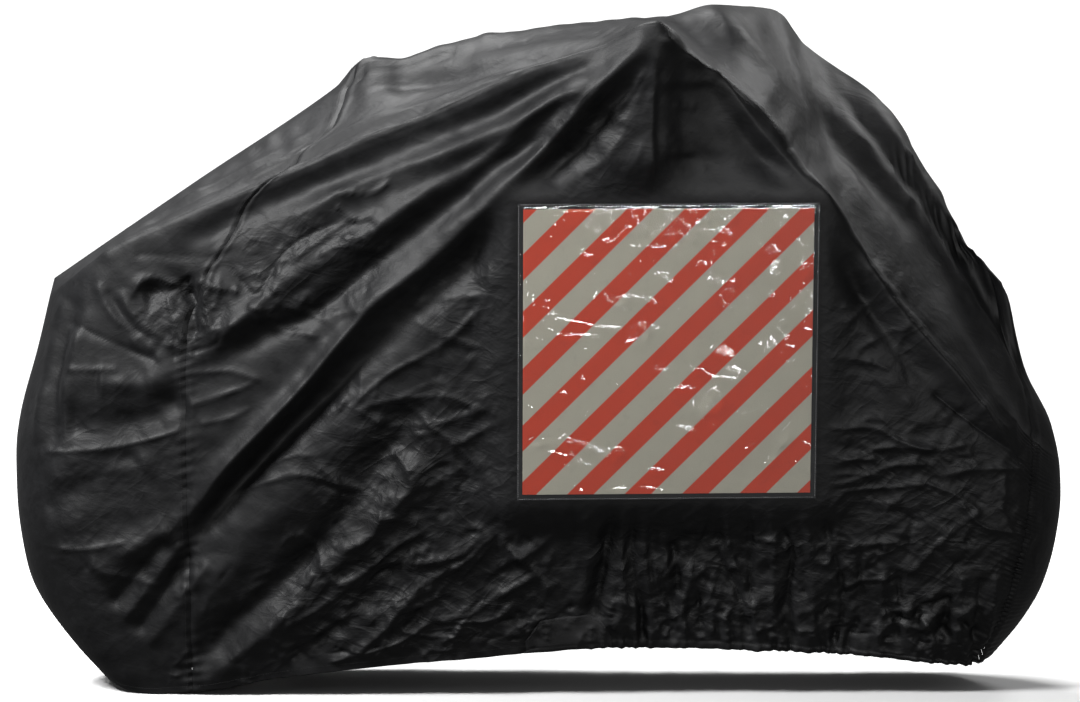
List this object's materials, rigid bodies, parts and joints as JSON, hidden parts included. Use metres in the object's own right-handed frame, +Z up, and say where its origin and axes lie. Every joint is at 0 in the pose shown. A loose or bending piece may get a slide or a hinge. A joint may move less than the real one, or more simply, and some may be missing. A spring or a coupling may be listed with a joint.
{
  "type": "bicycle cover",
  "caption": "Fitted cloth cover that hangs over a bicycle, with a clear pocket on one side holding a square red and white striped load board.",
  "frame": {"origin": "on the ground below the middle of the cover's box", "axes": "+X along the bicycle to its front wheel, +Z up, and the side with the clear pocket faces -Y"},
  "size_m": [1.8576, 0.5832, 1.2068],
  "materials": {
    "cover_cloth": "thin coated polyester, satin",
    "patch_cloth": "thicker plain cloth, matte",
    "board_face": "red and white diagonal stripes",
    "clear_film": "clear soft film, glossy and wrinkled"
  },
  "bodies": {
    "root": {"side_panel_near": "cover_cloth", "side_panel_far": "cover_cloth", "rear_panel": "cover_cloth", "front_panel": "cover_cloth", "hem_patch": "patch_cloth", "warning_board": "board_face", "window_film": "clear_film"}
  },
  "joints": []
}
